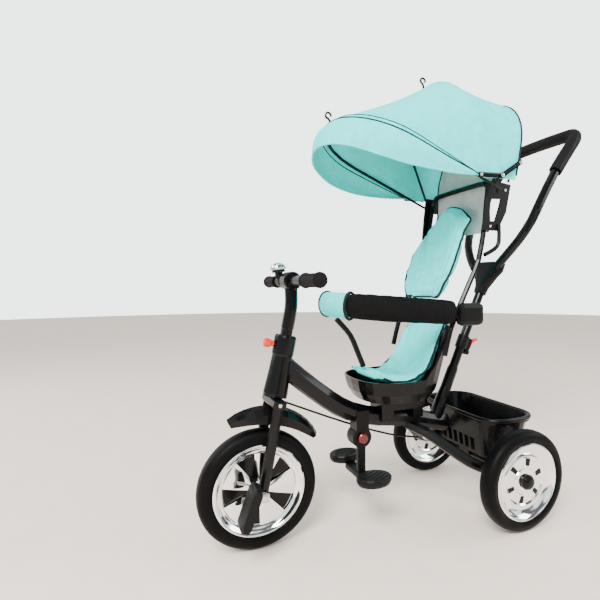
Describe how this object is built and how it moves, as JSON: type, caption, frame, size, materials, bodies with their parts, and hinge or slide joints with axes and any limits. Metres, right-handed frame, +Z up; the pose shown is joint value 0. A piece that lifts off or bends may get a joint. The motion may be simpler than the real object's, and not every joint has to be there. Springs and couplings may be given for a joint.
{
  "type": "children's push tricycle",
  "caption": "Child's push tricycle with a folding canopy, padded seat, padded guard rail, folding footrest, parent handle with linked steering and a rear basket.",
  "frame": {"origin": "on the floor under the middle of the whole tricycle", "axes": "+Z up, -Y to the front, +X to the rider's left"},
  "size_m": [0.4426, 0.9739, 1.0767],
  "materials": {
    "paint": "satin",
    "shell": "gloss",
    "soft_black": "matt",
    "foam_black": "matt",
    "tyre": "matt",
    "plated": "polished",
    "cloth": "matt",
    "mesh_grey": "matt",
    "red": "gloss",
    "steel": "satin"
  },
  "bodies": {
    "chassis": {"frame": "paint", "head_tube": "paint", "rear_axle": "steel", "head_cover": "shell", "footrest_bracket": "shell", "seat_shell": "shell", "seat_pad": "cloth", "back_frame": "paint", "back_pad": "cloth", "back_panel": "mesh_grey", "canopy_bow_rear": "paint", "canopy_rear_cloth": "cloth", "canopy_bracket_left": "shell", "canopy_bracket_right": "shell", "basket": "shell"},
    "lock_knob": {"steering_lock_knob": "red"},
    "steerer": {"fork": "paint", "mudguard": "shell", "handlebar": "paint", "grip_left": "foam_black", "grip_right": "foam_black", "bell_base": "shell", "bell_dome": "plated"},
    "bell_thumb": {"bell_lever": "shell"},
    "front_wheel": {"front_tyre": "tyre", "front_rim": "plated", "crank_set": "steel"},
    "pedal_l": {"pedal_left": "shell"},
    "pedal_r": {"pedal_right": "shell"},
    "rear_wheel_l": {"rear_tyre_left": "tyre", "rear_rim_left": "plated", "hub_cap_left": "shell"},
    "rear_wheel_r": {"rear_tyre_right": "tyre", "rear_rim_right": "plated", "hub_cap_right": "shell"},
    "foot_bar": {"footrest": "shell"},
    "foot_button": {"footrest_button": "red"},
    "rail": {"guard_rail": "paint", "rail_sleeve_left": "soft_black", "rail_sleeve_right": "soft_black", "rail_sleeve_front": "cloth", "crotch_bar": "shell"},
    "canopy_mid": {"canopy_bow_middle": "paint", "canopy_front_cloth": "cloth"},
    "canopy_fore": {"canopy_bow_front": "paint", "canopy_peak": "cloth"},
    "link_fl": {"canopy_link_front_left": "paint"},
    "link_fr": {"canopy_link_front_right": "paint"},
    "link_rl": {"canopy_link_rear_left": "paint"},
    "link_rr": {"canopy_link_rear_right": "paint"},
    "push_column": {"steering_shaft": "steel", "pole_tube": "paint", "latch_band": "shell"},
    "latch": {"height_latch": "red"},
    "push_handle": {"handle_joint": "shell", "handle_tube": "paint", "handle_foam": "foam_black"},
    "tie_rod": {"steering_rod": "steel"}
  },
  "joints": [
    {"name": "steer", "type": "hinge", "parent": "chassis", "child": "steerer", "pos_m": [0, -0.36, 0.127], "axis": [0, 0.1908, 0.9816], "range_deg": [-35, 35]},
    {"name": "bell_press", "type": "hinge", "parent": "steerer", "child": "bell_thumb", "pos_m": [-0.0325, -0.29592, 0.57195], "axis": [0, -0.1219, 0.9925], "range_deg": [0, 18], "stiffness_Nm_per_rad": 0.05},
    {"name": "front_wheel_spin", "type": "hinge", "parent": "steerer", "child": "front_wheel", "pos_m": [0, -0.36, 0.127], "axis": [1, 0, 0], "continuous": true},
    {"name": "pedal_left_spin", "type": "hinge", "parent": "front_wheel", "child": "pedal_l", "pos_m": [0.066, -0.39598, 0.12826], "axis": [1, 0, 0], "continuous": true},
    {"name": "pedal_right_spin", "type": "hinge", "parent": "front_wheel", "child": "pedal_r", "pos_m": [-0.066, -0.32402, 0.12574], "axis": [1, 0, 0], "continuous": true},
    {"name": "rear_wheel_left_spin", "type": "hinge", "parent": "chassis", "child": "rear_wheel_l", "pos_m": [0.1935, 0.203, 0.115], "axis": [1, 0, 0], "continuous": true},
    {"name": "rear_wheel_right_spin", "type": "hinge", "parent": "chassis", "child": "rear_wheel_r", "pos_m": [-0.1935, 0.203, 0.115], "axis": [1, 0, 0], "continuous": true},
    {"name": "footrest_fold", "type": "hinge", "parent": "chassis", "child": "foot_bar", "pos_m": [0, -0.119, 0.204], "axis": [1, 0, 0], "range_deg": [0, 50]},
    {"name": "footrest_release", "type": "slide", "parent": "chassis", "child": "foot_button", "axis": [-1, 0, 0], "range_m": [0, 0.003], "stiffness_N_per_m": 300},
    {"name": "lock_knob_pull", "type": "slide", "parent": "chassis", "child": "lock_knob", "axis": [0, -0.9816, 0.1908], "range_m": [0, 0.004]},
    {"name": "rail_lift", "type": "hinge", "parent": "chassis", "child": "rail", "pos_m": [0, 0.073, 0.494], "axis": [-1, 0, 0], "range_deg": [0, 50]},
    {"name": "canopy_mid_fold", "type": "hinge", "parent": "chassis", "child": "canopy_mid", "pos_m": [0, 0.169, 0.782], "axis": [-1, 0, 0], "range_deg": [0, 26], "deforming": ["canopy_rear_cloth"]},
    {"name": "canopy_front_fold", "type": "hinge", "parent": "canopy_mid", "child": "canopy_fore", "pos_m": [0, 0.169, 0.782], "axis": [-1, 0, 0], "range_deg": [0, 26], "deforming": ["canopy_front_cloth"]},
    {"name": "link_front_left_fold", "type": "hinge", "parent": "canopy_fore", "child": "link_fl", "pos_m": [0.1608, 0.10465, 0.808], "axis": [1, 0, 0], "range_deg": [0, 48]},
    {"name": "link_front_right_fold", "type": "hinge", "parent": "canopy_fore", "child": "link_fr", "pos_m": [-0.1608, 0.10465, 0.808], "axis": [1, 0, 0], "range_deg": [0, 48]},
    {"name": "link_rear_left_fold", "type": "hinge", "parent": "chassis", "child": "link_rl", "pos_m": [0.1645, 0.2163, 0.846], "axis": [1, 0, 0], "range_deg": [0, 8]},
    {"name": "link_rear_right_fold", "type": "hinge", "parent": "chassis", "child": "link_rr", "pos_m": [-0.1645, 0.2163, 0.846], "axis": [1, 0, 0], "range_deg": [0, 8]},
    {"name": "column_turn", "type": "hinge", "parent": "chassis", "child": "push_column", "pos_m": [0, 0.105, 0.242], "axis": [0, 0.4083, 0.9128], "range_deg": [-35, 35]},
    {"name": "latch_open", "type": "hinge", "parent": "push_column", "child": "latch", "pos_m": [0, 0.20058, 0.40301], "axis": [-1, 0, 0], "range_deg": [0, 16], "stiffness_Nm_per_rad": 0.4},
    {"name": "handle_raise", "type": "slide", "parent": "push_column", "child": "push_handle", "axis": [0, 0.4083, 0.9128], "range_m": [0, 0.08]},
    {"name": "tie_rod_travel", "type": "slide", "parent": "chassis", "child": "tie_rod", "axis": [0, 0.9523, -0.3051], "range_m": [-0.022, 0.022]}
  ],
  "couplings": [
    {"joint": "column_turn", "follows": "steer", "ratio": 1},
    {"joint": "tie_rod_travel", "follows": "steer", "m_per_rad": -0.034},
    {"joint": "canopy_front_fold", "follows": "canopy_mid_fold", "ratio": 1},
    {"joint": "link_front_left_fold", "follows": "canopy_mid_fold", "ratio": 1.8},
    {"joint": "link_front_right_fold", "follows": "canopy_mid_fold", "ratio": 1.8},
    {"joint": "link_rear_left_fold", "follows": "canopy_mid_fold", "ratio": 0.26},
    {"joint": "link_rear_right_fold", "follows": "canopy_mid_fold", "ratio": 0.26}
  ]
}
